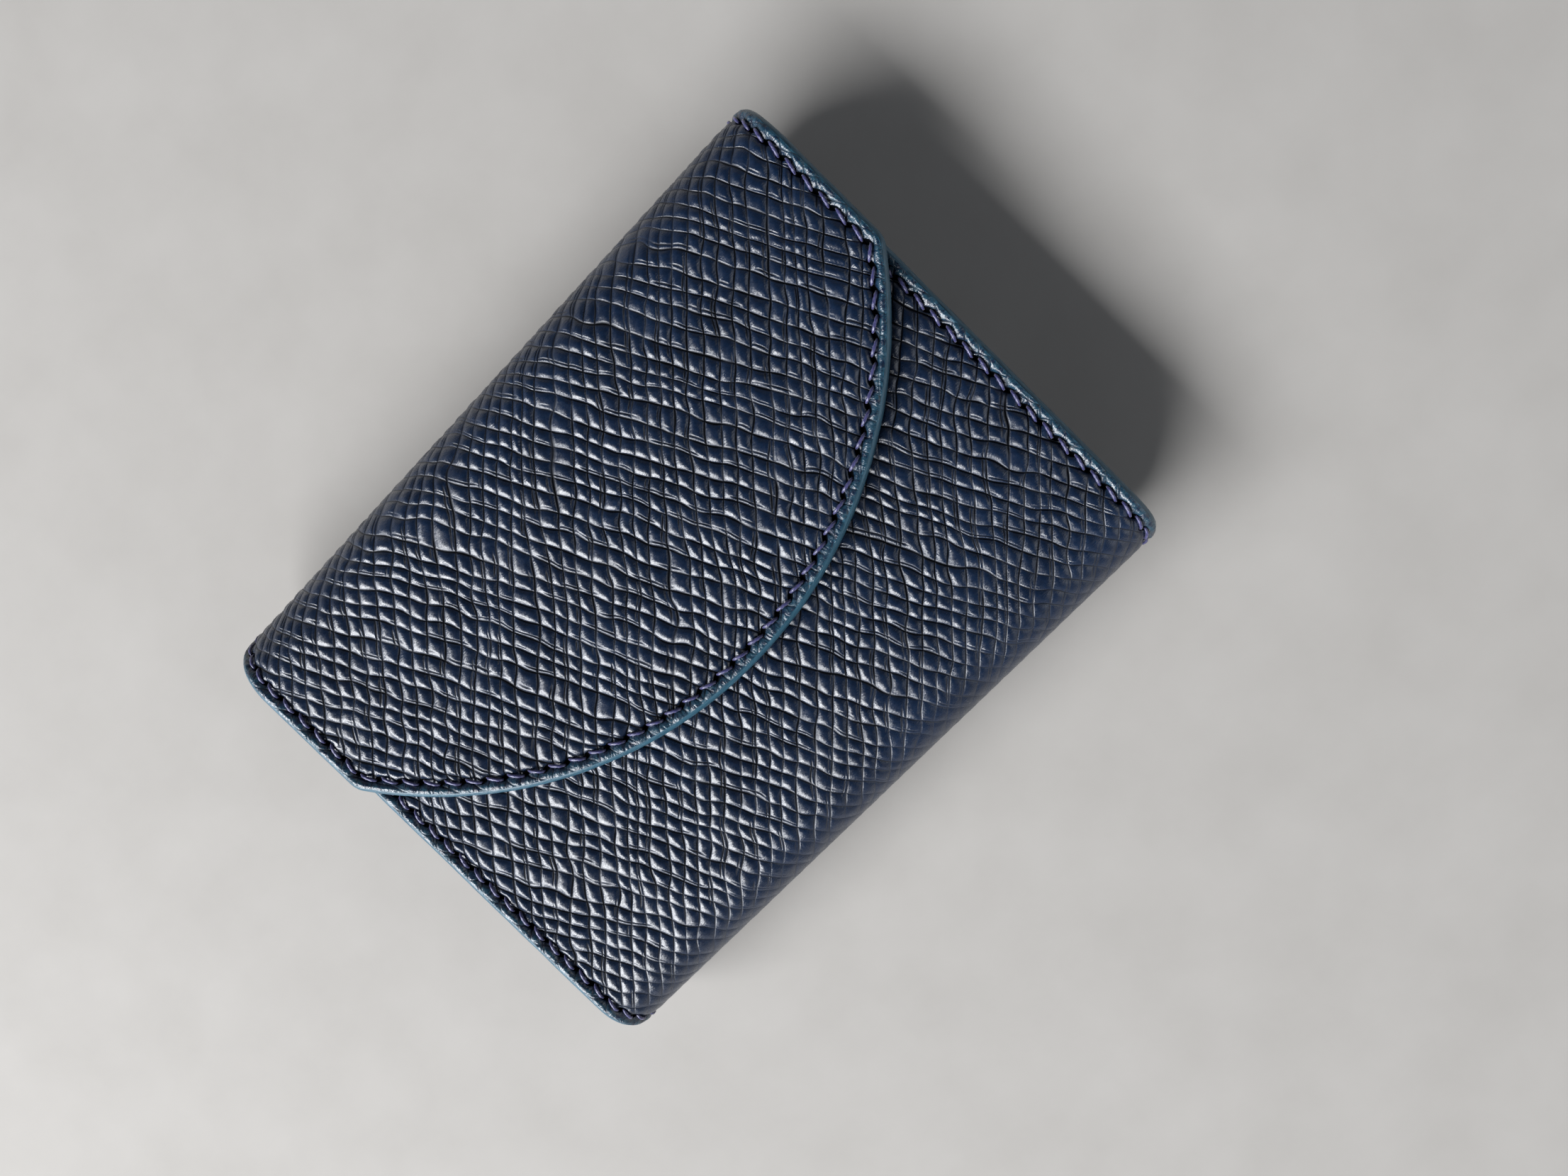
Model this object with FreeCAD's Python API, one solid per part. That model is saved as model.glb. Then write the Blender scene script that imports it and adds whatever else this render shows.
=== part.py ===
"""Compact flap wallet: a folded leather shell with a round bottom fold and a round top fold, a curved flap,
W-folded side gussets, a divider, two card pockets and a hidden magnetic catch.

It lies on its back. X runs along its width, +Y towards the top fold that the flap hangs on, and +Z up.
The origin is on the table, below the middle of the closed wallet. Millimetres and degrees.
"""

import FreeCAD, Part
import math
import os

V = FreeCAD.Vector

# Driving dimensions
WIDTH = 104.0
HEIGHT = 80.2          # from the bottom fold to the top fold, closed
FLAP_WIDTH = 104.6
OUTER_T = 1.3          # grained outer leather
LINING_T = 0.8         # smooth lining leather
BOTTOM_RADIUS = 7.5    # outside of the bottom fold
FLAP_GAP = 0.35        # between the closed flap and the front panel
MOUTH_Y = 28.5         # upper edge of the front panel
FLAP_TIP_Y = -13.5
FLAP_CORNER_Y = 13.6   # where the flap's straight side would meet its curved edge
FLAP_CORNER_RADIUS = 3.5
EDGE_COAT = 0.25       # painted edge coat
SPLIT_GAP = 1.4        # degrees left open where two moving pieces of a fold meet
FOLD_SPLIT = 45.0      # a fold turns at this angle above and below its crest

# Inside
GUSSET_T = 0.8
GUSSET_CLEARANCE = 0.2
GUSSET_FLANGE_X = 49.0  # inner end of the part that is sewn to a panel
GUSSET_APEX_X = 46.6    # the folds that point into the wallet
GUSSET_MIDDLE_X = 47.6  # where the gusset reaches the divider's face
GUSSET_TOP_Y = 27.5
GUSSET_SPLIT = 0.15     # height left open at an apex, between two moving leaves
POCKET_T = 0.6
POCKET_HALF_WIDTH = 45.4
POCKET_FOOT_Y = -31.5
DEEP_POCKET_Y = 20.5
SHALLOW_POCKET_Y = 8.0
DIVIDER_T = 0.9
DIVIDER_Z = 7.6         # underside of the divider
DIVIDER_HALF_WIDTH = 48.0
DIVIDER_FOOT_Y = -34.0
DIVIDER_TOP_Y = 27.5

# Catch
MAGNET_RADIUS = 5.5
MAGNET_T = 1.0
MAGNET_IN_LINING = 0.4  # how much of a magnet's thickness is let into the lining
MAGNET_Y = -1.0
BACKING_LENGTH = 36.0
BACKING_DEPTH = 12.0
BACKING_T = 0.3
BACKING_CORNER = 3.0

# Thread
STITCH_PITCH = 3.0
STITCH_LENGTH = 2.2
STITCH_WIDTH = 0.6
STITCH_T = 0.3
STITCH_SLANT = 20.0
GROOVE_DEPTH = 0.42     # deeper than a stitch is thick, because a straight stitch spans a curved fold
GROOVE_WIDTH = 1.6
SEAM_INSET = 2.2        # from an edge of the shell to the middle of its seam
INSIDE_SEAM_INSET = 1.6  # the same on the thin leather inside, which has no grooves

# How far a trimming solid reaches past what it trims
TRIM_MARGIN = 1.0

# Derived sizes
PANEL_T = OUTER_T + LINING_T
HALF_WIDTH = WIDTH / 2
HALF_FLAP = FLAP_WIDTH / 2
HALF_HEIGHT = HEIGHT / 2
LEATHER_X = HALF_WIDTH - EDGE_COAT
SEAM_X = HALF_WIDTH - SEAM_INSET
FRONT_Z = 2 * BOTTOM_RADIUS
FLAP_Z = FRONT_Z + FLAP_GAP + PANEL_T
FLAP_INNER_Z = FLAP_Z - OUTER_T
TOP_RADIUS = FLAP_Z / 2
BOTTOM_Y = -HALF_HEIGHT + BOTTOM_RADIUS
TOP_Y = HALF_HEIGHT - TOP_RADIUS
INSIDE_BACK_Z = PANEL_T
INSIDE_FRONT_Z = FRONT_Z - PANEL_T
MOUTH_SEAM_Y = MOUTH_Y - SEAM_INSET


# The folded sheet as seen from its end. Each stretch is a straight run or an arc of its outer face, and
# a depth is measured from that face into the leather.
def run(y0, y1, z, inward):
    return {"kind": "run", "y0": y0, "y1": y1, "z": z, "inward": inward}


def arc(y, z, radius, start, end):
    return {"kind": "arc", "y": y, "z": z, "radius": radius, "start": start, "end": end}


def bottom_arc(start, end):
    return arc(BOTTOM_Y, BOTTOM_RADIUS, BOTTOM_RADIUS, start, end)


def top_arc(start, end):
    return arc(TOP_Y, TOP_RADIUS, TOP_RADIUS, start, end)


FRONT = [run(MOUTH_Y - EDGE_COAT, BOTTOM_Y, FRONT_Z, -1), bottom_arc(90, 180 - FOLD_SPLIT)]
BOTTOM_FOLD = [bottom_arc(180 - FOLD_SPLIT + SPLIT_GAP, 180 + FOLD_SPLIT - SPLIT_GAP)]
BACK = [bottom_arc(180 + FOLD_SPLIT, 270), run(BOTTOM_Y, TOP_Y, 0.0, 1), top_arc(270, 360 - FOLD_SPLIT)]
TOP_FOLD = [top_arc(-FOLD_SPLIT + SPLIT_GAP, FOLD_SPLIT - SPLIT_GAP)]
FLAP = [top_arc(FOLD_SPLIT, 90), run(TOP_Y, FLAP_TIP_Y, FLAP_Z, -1)]

# The front's side seams stop short of the seam along its mouth.
FRONT_SEAM = [run(MOUTH_Y - 2 * SEAM_INSET, BOTTOM_Y, FRONT_Z, -1), FRONT[1]]


def polar(y, z, radius, angle):
    a = math.radians(angle)
    return V(0, y + radius * math.cos(a), z + radius * math.sin(a))


def arc_edge(stretch, radius, start, end):
    y, z = stretch["y"], stretch["z"]
    points = [polar(y, z, radius, angle) for angle in (start, (start + end) / 2, end)]
    return Part.Arc(*points).toShape()


def strip_face(stretch, depth0, depth1):
    """The end view of one stretch between two depths, as a face in the YZ plane."""
    if stretch["kind"] == "run":
        y0, y1 = stretch["y0"], stretch["y1"]
        z0 = stretch["z"] + stretch["inward"] * depth0
        z1 = stretch["z"] + stretch["inward"] * depth1
        corners = [V(0, y0, z0), V(0, y1, z0), V(0, y1, z1), V(0, y0, z1)]
        return Part.Face(Part.makePolygon(corners + corners[:1]))
    start, end = stretch["start"], stretch["end"]
    outer = arc_edge(stretch, stretch["radius"] - depth0, start, end)
    inner = arc_edge(stretch, stretch["radius"] - depth1, end, start)
    ends = [polar(stretch["y"], stretch["z"], stretch["radius"] - depth, angle)
            for depth, angle in ((depth0, end), (depth1, end), (depth1, start), (depth0, start))]
    sides = [Part.makeLine(ends[0], ends[1]), Part.makeLine(ends[2], ends[3])]
    return Part.Face(Part.Wire([outer, sides[0], inner, sides[1]]))


def sheet(stretches, depth0, depth1, x0, x1):
    """A solid sheet that follows the stretches from x0 to x1."""
    low, high = min(x0, x1), max(x0, x1)
    solids = []
    for stretch in stretches:
        face = strip_face(stretch, depth0, depth1)
        face.translate(V(low, 0, 0))
        solids.append(face.extrude(V(high - low, 0, 0)))
    if len(solids) == 1:
        return solids[0]
    return solids[0].fuse(solids[1:]).removeSplitter()


def outer_sheet(stretches):
    return sheet(stretches, 0, OUTER_T, -LEATHER_X, LEATHER_X)


def lining_sheet(stretches):
    return sheet(stretches, OUTER_T, PANEL_T, -LEATHER_X, LEATHER_X)


def edge_coat(stretches):
    """The painted coat on both side edges."""
    strips = [sheet(stretches, 0, PANEL_T, side * LEATHER_X, side * HALF_WIDTH) for side in (-1, 1)]
    return Part.makeCompound(strips)


def plate(half_width, y0, y1, z0, z1):
    return Part.makeBox(2 * half_width, y1 - y0, z1 - z0, V(-half_width, y0, z0))


def magnet_disc(z, thickness):
    return Part.makeCylinder(MAGNET_RADIUS, thickness, V(0, MAGNET_Y, z))


# The flap's outline from above: straight sides, rounded corners and one large arc. An inset moves it inwards.
FLAP_SAG = FLAP_CORNER_Y - FLAP_TIP_Y
FLAP_ARC_RADIUS = (HALF_FLAP ** 2 + FLAP_SAG ** 2) / (2 * FLAP_SAG)
FLAP_ARC_Y = FLAP_TIP_Y + FLAP_ARC_RADIUS
CORNER_X = HALF_FLAP - FLAP_CORNER_RADIUS
CORNER_Y = FLAP_ARC_Y - math.sqrt((FLAP_ARC_RADIUS - FLAP_CORNER_RADIUS) ** 2 - CORNER_X ** 2)
CORNER_END = math.degrees(math.atan2(CORNER_Y - FLAP_ARC_Y, CORNER_X))


def plan_arc(x, y, radius, start, end):
    def at(angle):
        a = math.radians(angle)
        return V(x + radius * math.cos(a), y + radius * math.sin(a), 0)
    return Part.Arc(at(start), at((start + end) / 2), at(end)).toShape()


def flap_edges(inset, top_y):
    """The open edge of the flap from its upper left end round to its upper right end."""
    x = HALF_FLAP - inset
    corner = FLAP_CORNER_RADIUS - inset
    left_end = -180 - CORNER_END
    return [
        Part.makeLine(V(-x, top_y, 0), V(-x, CORNER_Y, 0)),
        plan_arc(-CORNER_X, CORNER_Y, corner, -180, left_end),
        plan_arc(0, FLAP_ARC_Y, FLAP_ARC_RADIUS - inset, left_end, CORNER_END),
        plan_arc(CORNER_X, CORNER_Y, corner, CORNER_END, 0),
        Part.makeLine(V(x, CORNER_Y, 0), V(x, top_y, 0)),
    ]


def flap_prism(inset):
    """A tall prism over the flap's plan, used to trim what is inside it."""
    top_y = HALF_HEIGHT + TRIM_MARGIN
    x = HALF_FLAP - inset
    closing = Part.makeLine(V(x, top_y, 0), V(-x, top_y, 0))
    outline = Part.Face(Part.Wire(flap_edges(inset, top_y) + [closing]))
    return outline.extrude(V(0, 0, FLAP_Z + TRIM_MARGIN))


def flap_sheet(depth0, depth1, inset):
    return sheet(FLAP, depth0, depth1, -HALF_FLAP, HALF_FLAP).common(flap_prism(inset))


# Stitches
def stitch(point, along, out):
    """One slanted stitch, sunk into its groove: along is the seam's direction and out the surface's."""
    side = out.cross(along)
    slant = math.radians(STITCH_SLANT)
    lengthwise = along * math.cos(slant) + side * math.sin(slant)
    across = out.cross(lengthwise)
    bar = Part.makeBox(STITCH_LENGTH, STITCH_WIDTH, STITCH_T, V(-STITCH_LENGTH / 2, -STITCH_WIDTH / 2, 0))
    foot = point - out * GROOVE_DEPTH
    bar.Placement = FreeCAD.Placement(FreeCAD.Matrix(
        lengthwise.x, across.x, out.x, foot.x,
        lengthwise.y, across.y, out.y, foot.y,
        lengthwise.z, across.z, out.z, foot.z,
        0, 0, 0, 1))
    return bar


def spaced(length):
    """Distances along a seam of this length, a whole number of stitches about STITCH_PITCH apart."""
    count = max(1, round(length / STITCH_PITCH))
    return [(i + 0.5) * length / count for i in range(count)]


def seam_along(stretch, x):
    """Stitches along one stretch of the sheet at this x, on its outer face."""
    if stretch["kind"] == "run":
        direction = math.copysign(1, stretch["y1"] - stretch["y0"])
        along, out = V(0, direction, 0), V(0, 0, -stretch["inward"])
        places = [V(x, stretch["y0"] + direction * s, stretch["z"])
                  for s in spaced(abs(stretch["y1"] - stretch["y0"]))]
        return [stitch(place, along, out) for place in places]
    stitches = []
    length = stretch["radius"] * math.radians(stretch["end"] - stretch["start"])
    for s in spaced(length):
        angle = stretch["start"] + math.degrees(s / stretch["radius"])
        point = polar(stretch["y"], stretch["z"], stretch["radius"], angle) + V(x, 0, 0)
        stitches.append(stitch(point, polar(0, 0, 1, angle + 90), polar(0, 0, 1, angle)))
    return stitches


def ungrooved(z):
    """The seam height that leaves its stitches lying on a face at z, rather than sunk into it."""
    return z + GROOVE_DEPTH


def side_seam(stretches, side):
    x = side * SEAM_X
    return Part.makeCompound([s for stretch in stretches for s in seam_along(stretch, x)])


def side_grooves(stretches):
    inner, outer = SEAM_X - GROOVE_WIDTH / 2, SEAM_X + GROOVE_WIDTH / 2
    return [sheet(stretches, 0, GROOVE_DEPTH, side * inner, side * outer) for side in (-1, 1)]


def seam_on_wire(edges, z, out):
    """Stitches along a line in plan, at height z, with out the direction that the surface faces."""
    wire = Part.Wire(edges)
    count = round(wire.Length / STITCH_PITCH)
    points = wire.discretize(2 * count + 1)
    stitches = []
    for before, middle, after in zip(points[0::2], points[1::2], points[2::2]):
        stitches.append(stitch(V(middle.x, middle.y, z), (after - before).normalize(), out))
    return stitches


# The shell
def front_outer():
    groove_x = LEATHER_X - SEAM_INSET
    groove_y = MOUTH_SEAM_Y - GROOVE_WIDTH / 2
    groove = plate(groove_x, groove_y, groove_y + GROOVE_WIDTH, FRONT_Z - GROOVE_DEPTH, FRONT_Z)
    recess = magnet_disc(FRONT_Z - OUTER_T, MAGNET_T - MAGNET_IN_LINING)
    return outer_sheet(FRONT).cut([groove, recess] + side_grooves(FRONT_SEAM))


def front_lining():
    return lining_sheet(FRONT).cut(magnet_disc(FRONT_Z - OUTER_T - MAGNET_IN_LINING, MAGNET_IN_LINING))


def front_edge_coat():
    """The painted coat on both side edges and along the mouth."""
    mouth = plate(HALF_WIDTH, MOUTH_Y - EDGE_COAT, MOUTH_Y, INSIDE_FRONT_Z, FRONT_Z)
    sides = edge_coat(FRONT).Solids
    return mouth.fuse(sides).removeSplitter()


def front_magnet():
    return magnet_disc(FRONT_Z - OUTER_T - MAGNET_IN_LINING, MAGNET_T)


def mouth_seam():
    x = LEATHER_X - 2 * SEAM_INSET
    line = Part.makeLine(V(-x, MOUTH_SEAM_Y, 0), V(x, MOUTH_SEAM_Y, 0))
    return Part.makeCompound(seam_on_wire([line], FRONT_Z, V(0, 0, 1)))


# The flap
def flap_groove(z0, z1):
    """The stitching groove that follows the flap's edge, between two heights."""
    ring = flap_prism(SEAM_INSET - GROOVE_WIDTH / 2).cut(flap_prism(SEAM_INSET + GROOVE_WIDTH / 2))
    return ring.common(plate(HALF_FLAP, FLAP_TIP_Y, TOP_Y, z0, z1))


def backing_plate():
    y0, y1 = MAGNET_Y - BACKING_DEPTH / 2, MAGNET_Y + BACKING_DEPTH / 2
    block = plate(BACKING_LENGTH / 2, y0, y1, FLAP_INNER_Z, FLAP_INNER_Z + BACKING_T)
    upright = [edge for edge in block.Edges if abs(edge.Vertexes[0].Z - edge.Vertexes[-1].Z) > BACKING_T / 2]
    return block.makeFillet(BACKING_CORNER, upright)


def flap_outer():
    recesses = [magnet_disc(FLAP_INNER_Z, MAGNET_T - MAGNET_IN_LINING), backing_plate()]
    grooves = [flap_groove(FLAP_Z - GROOVE_DEPTH, FLAP_Z)] + side_grooves(FLAP[:1])
    return flap_sheet(0, OUTER_T, EDGE_COAT).cut(grooves + recesses)


def flap_lining():
    lower_z = FLAP_Z - PANEL_T
    recess = magnet_disc(FLAP_INNER_Z - MAGNET_IN_LINING, MAGNET_IN_LINING)
    groove = flap_groove(lower_z, lower_z + GROOVE_DEPTH)
    return flap_sheet(OUTER_T, PANEL_T, EDGE_COAT).cut([groove, recess])


def flap_edge_coat():
    return flap_sheet(0, PANEL_T, 0).cut(flap_prism(EDGE_COAT))


def flap_magnet():
    return magnet_disc(FLAP_INNER_Z - MAGNET_IN_LINING, MAGNET_T)


def flap_magnet_backing():
    return backing_plate().cut(magnet_disc(FLAP_INNER_Z, BACKING_T))


def flap_seam():
    """The thread on both faces of the flap, and on its end of the top fold."""
    line = flap_edges(SEAM_INSET, TOP_Y)
    stitches = seam_on_wire(line, FLAP_Z, V(0, 0, 1)) + seam_on_wire(line, FLAP_Z - PANEL_T, V(0, 0, -1))
    for side in (-1, 1):
        stitches += seam_along(FLAP[0], side * SEAM_X)
    return Part.makeCompound(stitches)


# Inside the pocket
def ribbon(points, thickness):
    """A face of constant thickness along a polyline in the XZ plane, with mitred corners."""
    directions = [(b - a).normalize() for a, b in zip(points, points[1:])]
    normals = [V(-d.z, 0, d.x) for d in directions]
    one_side, other_side = [], []
    for i, point in enumerate(points):
        mitre = (normals[max(i - 1, 0)] + normals[min(i, len(normals) - 1)]) * 0.5
        reach = mitre * (thickness / 2 / mitre.dot(mitre))
        one_side.append(point + reach)
        other_side.append(point - reach)
    ring = one_side + other_side[::-1]
    return Part.Face(Part.makePolygon(ring + ring[:1]))


GUSSET_FRONT_Z = INSIDE_FRONT_Z - GUSSET_T / 2
GUSSET_BACK_Z = INSIDE_BACK_Z + GUSSET_T / 2
GUSSET_OVER_Z = DIVIDER_Z + DIVIDER_T + GUSSET_T / 2
GUSSET_UNDER_Z = DIVIDER_Z - GUSSET_T / 2
FRONT_APEX_Z = (GUSSET_FRONT_Z + GUSSET_OVER_Z) / 2
BACK_APEX_Z = (GUSSET_BACK_Z + GUSSET_UNDER_Z) / 2


def gusset(side):
    """A whole W-folded gusset: a flange on each panel, and a middle fold that holds the divider's edge."""
    wrap_x = DIVIDER_HALF_WIDTH + GUSSET_T / 2
    line = [
        (LEATHER_X, GUSSET_FRONT_Z), (GUSSET_FLANGE_X, GUSSET_FRONT_Z), (GUSSET_APEX_X, FRONT_APEX_Z),
        (GUSSET_MIDDLE_X, GUSSET_OVER_Z), (wrap_x, GUSSET_OVER_Z), (wrap_x, GUSSET_UNDER_Z),
        (GUSSET_MIDDLE_X, GUSSET_UNDER_Z), (GUSSET_APEX_X, BACK_APEX_Z), (GUSSET_FLANGE_X, GUSSET_BACK_Z),
        (LEATHER_X, GUSSET_BACK_Z),
    ]
    face = ribbon([V(side * x, -HALF_HEIGHT, z) for x, z in line], GUSSET_T)
    return face.extrude(V(0, GUSSET_TOP_Y + HALF_HEIGHT, 0)).common(inside_prism())


def inside_prism():
    """The space between the panels, rounded at the bottom fold, a little clear of the lining there."""
    block = plate(HALF_WIDTH, BOTTOM_Y, GUSSET_TOP_Y, INSIDE_BACK_Z, INSIDE_FRONT_Z)
    radius = BOTTOM_RADIUS - PANEL_T - GUSSET_CLEARANCE
    end = Part.makeCylinder(radius, WIDTH, V(-HALF_WIDTH, BOTTOM_Y, BOTTOM_RADIUS), V(1, 0, 0))
    return block.fuse(end).removeSplitter()


def gusset_leaf(side, z0, z1):
    """The part of a gusset between two heights, which are at its inward folds."""
    return gusset(side).common(plate(HALF_WIDTH, -HALF_HEIGHT, GUSSET_TOP_Y, z0, z1))


def gusset_front(side):
    return gusset_leaf(side, FRONT_APEX_Z + GUSSET_SPLIT / 2, INSIDE_FRONT_Z)


def gusset_middle(side):
    return gusset_leaf(side, BACK_APEX_Z + GUSSET_SPLIT / 2, FRONT_APEX_Z - GUSSET_SPLIT / 2)


def gusset_back(side):
    return gusset_leaf(side, INSIDE_BACK_Z, BACK_APEX_Z - GUSSET_SPLIT / 2)


def pocket(top_y, level):
    z = INSIDE_BACK_Z + level * POCKET_T
    return plate(POCKET_HALF_WIDTH, POCKET_FOOT_Y, top_y, z, z + POCKET_T)


def pocket_seam(top_y, foot_y, level, closed_foot):
    """Thread that lies on a pocket panel: down both sides, and along the foot where that is sewn too."""
    x = POCKET_HALF_WIDTH - INSIDE_SEAM_INSET
    z = ungrooved(INSIDE_BACK_Z + (level + 1) * POCKET_T)
    ends = [(V(side * x, top_y, 0), V(side * x, foot_y, 0)) for side in (-1, 1)]
    if closed_foot:
        inset = V(STITCH_PITCH / 2, 0, 0)
        ends.append((ends[0][1] + inset, ends[1][1] - inset))
    lines = [Part.makeLine(a, b) for a, b in ends]
    return Part.makeCompound([s for line in lines for s in seam_on_wire([line], z, V(0, 0, 1))])


def divider_panel():
    return plate(DIVIDER_HALF_WIDTH, DIVIDER_FOOT_Y, DIVIDER_TOP_Y, DIVIDER_Z, DIVIDER_Z + DIVIDER_T)


def divider_seam():
    x = POCKET_HALF_WIDTH - INSIDE_SEAM_INSET
    y = DIVIDER_TOP_Y - INSIDE_SEAM_INSET
    line = Part.makeLine(V(-x, y, 0), V(x, y, 0))
    return Part.makeCompound(seam_on_wire([line], ungrooved(DIVIDER_Z + DIVIDER_T), V(0, 0, 1)))


POCKET_SEAM_FOOT_Y = POCKET_FOOT_Y + INSIDE_SEAM_INSET

NODES = {
    # Front panel
    "front_outer": front_outer(),
    "front_lining": front_lining(),
    "front_edge_coat": front_edge_coat(),
    "front_magnet": front_magnet(),
    "front_seam_left": side_seam(FRONT_SEAM, -1),
    "front_seam_right": side_seam(FRONT_SEAM, 1),
    "mouth_seam": mouth_seam(),
    "gusset_front_left": gusset_front(-1),
    "gusset_front_right": gusset_front(1),
    # Bottom fold, and the divider that turns with it
    "bottom_fold_outer": outer_sheet(BOTTOM_FOLD).cut(side_grooves(BOTTOM_FOLD)),
    "bottom_fold_lining": lining_sheet(BOTTOM_FOLD),
    "bottom_fold_edge_coat": edge_coat(BOTTOM_FOLD),
    "bottom_fold_seam_left": side_seam(BOTTOM_FOLD, -1),
    "bottom_fold_seam_right": side_seam(BOTTOM_FOLD, 1),
    "gusset_middle_left": gusset_middle(-1),
    "gusset_middle_right": gusset_middle(1),
    "divider_panel": divider_panel(),
    "divider_seam": divider_seam(),
    # Back panel
    "back_outer": outer_sheet(BACK).cut(side_grooves(BACK)),
    "back_lining": lining_sheet(BACK),
    "back_edge_coat": edge_coat(BACK),
    "back_seam_left": side_seam(BACK, -1),
    "back_seam_right": side_seam(BACK, 1),
    "gusset_back_left": gusset_back(-1),
    "gusset_back_right": gusset_back(1),
    "card_pocket_deep": pocket(DEEP_POCKET_Y, 0),
    "card_pocket_shallow": pocket(SHALLOW_POCKET_Y, 1),
    "card_pocket_seam_deep": pocket_seam(DEEP_POCKET_Y, SHALLOW_POCKET_Y, 0, False),
    "card_pocket_seam_shallow": pocket_seam(SHALLOW_POCKET_Y, POCKET_SEAM_FOOT_Y, 1, True),
    # Top fold
    "top_fold_outer": outer_sheet(TOP_FOLD).cut(side_grooves(TOP_FOLD)),
    "top_fold_lining": lining_sheet(TOP_FOLD),
    "top_fold_edge_coat": edge_coat(TOP_FOLD),
    "top_fold_seam_left": side_seam(TOP_FOLD, -1),
    "top_fold_seam_right": side_seam(TOP_FOLD, 1),
    # Flap
    "flap_outer": flap_outer(),
    "flap_lining": flap_lining(),
    "flap_edge_coat": flap_edge_coat(),
    "flap_magnet": flap_magnet(),
    "flap_magnet_backing": flap_magnet_backing(),
    "flap_seam": flap_seam(),
}

os.makedirs("parts", exist_ok=True)
for name, shape in NODES.items():
    shape.exportStep(f"parts/{name}.step")
    print(f"{name}: {len(shape.Solids)} solids, {shape.Volume:.1f} mm3, valid {shape.isValid()}")
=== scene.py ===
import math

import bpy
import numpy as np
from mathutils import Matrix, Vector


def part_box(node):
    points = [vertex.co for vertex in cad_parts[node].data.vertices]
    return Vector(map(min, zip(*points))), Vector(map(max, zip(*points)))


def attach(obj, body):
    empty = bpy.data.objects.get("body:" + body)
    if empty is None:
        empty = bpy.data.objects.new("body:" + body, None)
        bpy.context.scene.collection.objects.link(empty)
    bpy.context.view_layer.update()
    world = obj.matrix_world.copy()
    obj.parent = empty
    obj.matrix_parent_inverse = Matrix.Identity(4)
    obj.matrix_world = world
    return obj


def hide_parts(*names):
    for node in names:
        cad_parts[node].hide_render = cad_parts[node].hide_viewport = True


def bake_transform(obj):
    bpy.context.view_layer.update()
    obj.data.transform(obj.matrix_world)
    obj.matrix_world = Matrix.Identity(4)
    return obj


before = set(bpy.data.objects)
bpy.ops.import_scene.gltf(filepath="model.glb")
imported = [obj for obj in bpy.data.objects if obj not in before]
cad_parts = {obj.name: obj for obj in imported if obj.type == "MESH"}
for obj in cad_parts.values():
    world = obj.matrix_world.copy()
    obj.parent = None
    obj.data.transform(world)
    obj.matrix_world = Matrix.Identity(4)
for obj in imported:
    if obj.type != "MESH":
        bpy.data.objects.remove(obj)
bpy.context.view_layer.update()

# The looks of a compact flap wallet of hatch-grained navy leather. Its shell is one long sheet. "Sheet
# coordinates" lay it out flat: x runs along the width, and s is the distance along the outer face from the
# mouth, down the front, round the bottom fold, up the back, over the top fold and along the flap to its tip.
# Lengths are millimetres until a mesh is made.

MM = 0.001


def low(node):
    return np.array(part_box(node)[0]) / MM


def high(node):
    return np.array(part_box(node)[1]) / MM


SIDES = ((-1, "left"), (1, "right"))

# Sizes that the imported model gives
FRONT_Z = high("front_outer")[2]
FLAP_Z = high("flap_outer")[2]
OUTER_T = FRONT_Z - high("front_lining")[2]
PANEL_T = FRONT_Z - high("gusset_front_left")[2]
BOTTOM_R = FRONT_Z / 2
TOP_R = FLAP_Z / 2
HALF_HEIGHT = high("top_fold_outer")[1]
HALF_WIDTH = high("back_edge_coat")[0]
HALF_FLAP = high("flap_edge_coat")[0]
MOUTH_Y = high("front_edge_coat")[1]
TIP_Y = low("flap_edge_coat")[1]
BOTTOM_Y = BOTTOM_R - HALF_HEIGHT
TOP_Y = HALF_HEIGHT - TOP_R
DIVIDER_LOW, DIVIDER_HIGH = low("divider_panel"), high("divider_panel")

# Sizes of the leatherwork
EDGE_R = PANEL_T / 2     # the edges are rounded over their whole thickness
LEATHER_INSET = 0.7      # where the outer leather ends, over the painted edge
BEAD_SUNK = 0.10         # how far the painted edge lies below each face of the panel
SEAM_INSET = 2.2
STITCH_PITCH = 3.0
FLAP_CORNER_Y = 13.6     # where the flap's straight side would meet its curved edge
FLAP_CORNER_R = 3.5
GUSSET_T = 0.8
GUSSET_FLANGE_X = 49.0   # inner end of the part that is sewn to a panel
GUSSET_APEX_X = 46.6     # the folds that point into the wallet
GRAIN_STEP = 0.28        # between the points of the grained leather's mesh
SMOOTH_STEP = 0.7        # the same for leather with no grain

# Places along the sheet
S_FRONT = MOUTH_Y - BOTTOM_Y
S_BACK = S_FRONT + math.pi * BOTTOM_R
S_TOP = S_BACK + TOP_Y - BOTTOM_Y
S_FLAP = S_TOP + math.pi * TOP_R
S_BOTTOM_CREST = (S_FRONT + S_BACK) / 2
S_BACK_MIDDLE = (S_BACK + S_TOP) / 2
S_TOP_CREST = (S_TOP + S_FLAP) / 2

# The flap's curved edge
FLAP_SAG = FLAP_CORNER_Y - TIP_Y
ARC_R = (HALF_FLAP ** 2 + FLAP_SAG ** 2) / (2 * FLAP_SAG)
ARC_Y = TIP_Y + ARC_R
CORNER_X = HALF_FLAP - FLAP_CORNER_R
CORNER_Y = ARC_Y - math.sqrt((ARC_R - FLAP_CORNER_R) ** 2 - CORNER_X ** 2)
ARC_HALF = math.atan2(CORNER_X, ARC_Y - CORNER_Y)
CORNER_SWEEP = math.pi / 2 - ARC_HALF


# The sheet in space

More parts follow.
